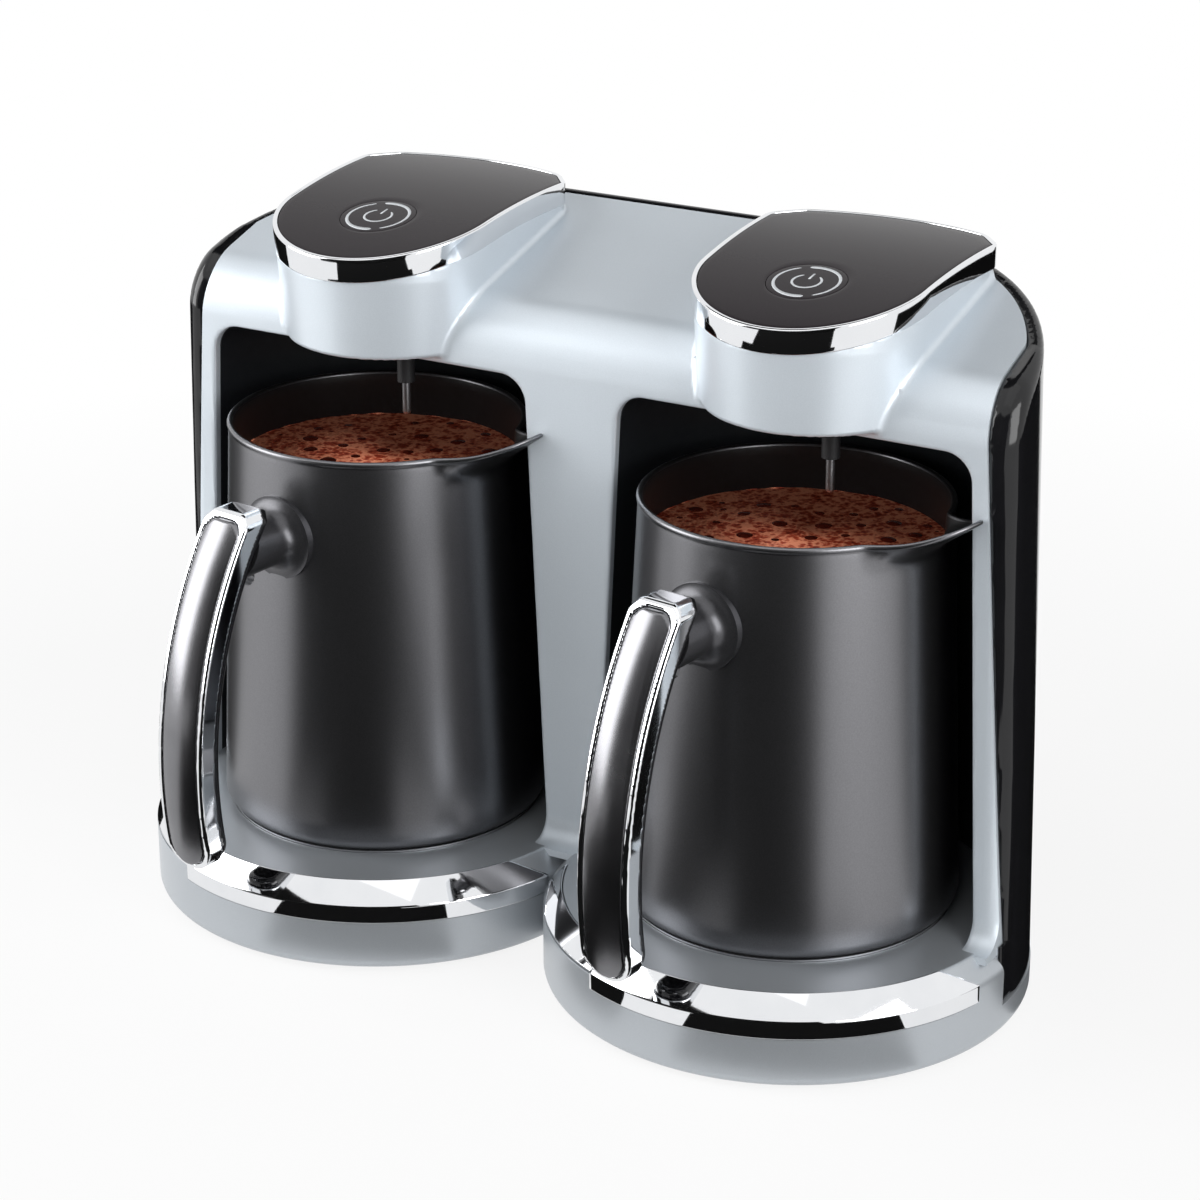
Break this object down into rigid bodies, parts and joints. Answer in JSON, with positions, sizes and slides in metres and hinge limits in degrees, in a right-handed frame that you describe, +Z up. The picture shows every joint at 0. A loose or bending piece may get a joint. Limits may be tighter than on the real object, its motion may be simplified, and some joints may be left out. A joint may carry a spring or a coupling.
{
  "type": "electric turkish coffee maker",
  "caption": "Countertop electric coffee maker: round heated platforms, each with a lift-out tapered pot with bowed handle, in an alcove under a head with a push button.",
  "frame": {"origin": "on the floor, under the middle of the bounding box", "axes": "+Z up, -Y to the front where the handles point, +X along the row of stations"},
  "size_m": [0.249, 0.1428, 0.1891],
  "materials": {
    "silver_shell": "satin metallic silver grey",
    "gloss_black": "polished black",
    "panel_black": "polished black with a fine sheen",
    "matte_black": "matte",
    "white_plastic": "matte",
    "board_green": "lacquered circuit board",
    "chrome_trim": "mirror chrome plating",
    "heater_alloy": "brushed",
    "steel": "fine brushed",
    "pot_coating": "satin black non-stick coating",
    "foot_rubber": "matte"
  },
  "bodies": {
    "machine": {"front_shell": "silver_shell", "rear_housing": "gloss_black", "base_shell": "silver_shell", "bottom_plate": "matte_black", "rubber_feet": "foot_rubber", "base_screws": "steel", "cord_gland": "foot_rubber", "terminal_block": "white_plastic", "alcove_liner_left": "gloss_black", "alcove_liner_right": "gloss_black", "heater_plate_left": "heater_alloy", "heater_plate_right": "heater_alloy", "heating_element_left": "steel", "heating_element_right": "steel", "thermostat_left": "matte_black", "thermostat_right": "matte_black", "base_trim_left": "chrome_trim", "base_trim_right": "chrome_trim", "head_rim_left": "chrome_trim", "head_rim_right": "chrome_trim", "top_panel_left": "panel_black", "top_panel_right": "panel_black", "control_board_left": "board_green", "control_board_right": "board_green", "push_switch_left": "matte_black", "push_switch_right": "matte_black", "sensor_sleeve_left": "matte_black", "sensor_sleeve_right": "matte_black", "sensor_rod_left": "steel", "sensor_rod_right": "steel"},
    "pot_left": {"pot_body_left": "pot_coating", "handle_neck_left": "pot_coating", "neck_screw_left": "steel", "handle_frame_left": "chrome_trim", "handle_inlay_left": "gloss_black", "handle_grip_left": "gloss_black"},
    "button_left": {"power_button_left": "panel_black"},
    "pot_right": {"pot_body_right": "pot_coating", "handle_neck_right": "pot_coating", "neck_screw_right": "steel", "handle_frame_right": "chrome_trim", "handle_inlay_right": "gloss_black", "handle_grip_right": "gloss_black"},
    "button_right": {"power_button_right": "panel_black"}
  },
  "joints": [
    {"name": "pot_left_slide", "type": "slide", "parent": "machine", "child": "pot_left", "axis": [0, -1, 0], "range_m": [0, 0.13]},
    {"name": "button_left_press", "type": "slide", "parent": "machine", "child": "button_left", "axis": [0, 0.1628, -0.9867], "range_m": [0, 0.001], "stiffness_N_per_m": 500, "springref_m": -0.002},
    {"name": "pot_right_slide", "type": "slide", "parent": "machine", "child": "pot_right", "axis": [0, -1, 0], "range_m": [0, 0.13]},
    {"name": "button_right_press", "type": "slide", "parent": "machine", "child": "button_right", "axis": [0, 0.1628, -0.9867], "range_m": [0, 0.001], "stiffness_N_per_m": 500, "springref_m": -0.002}
  ]
}
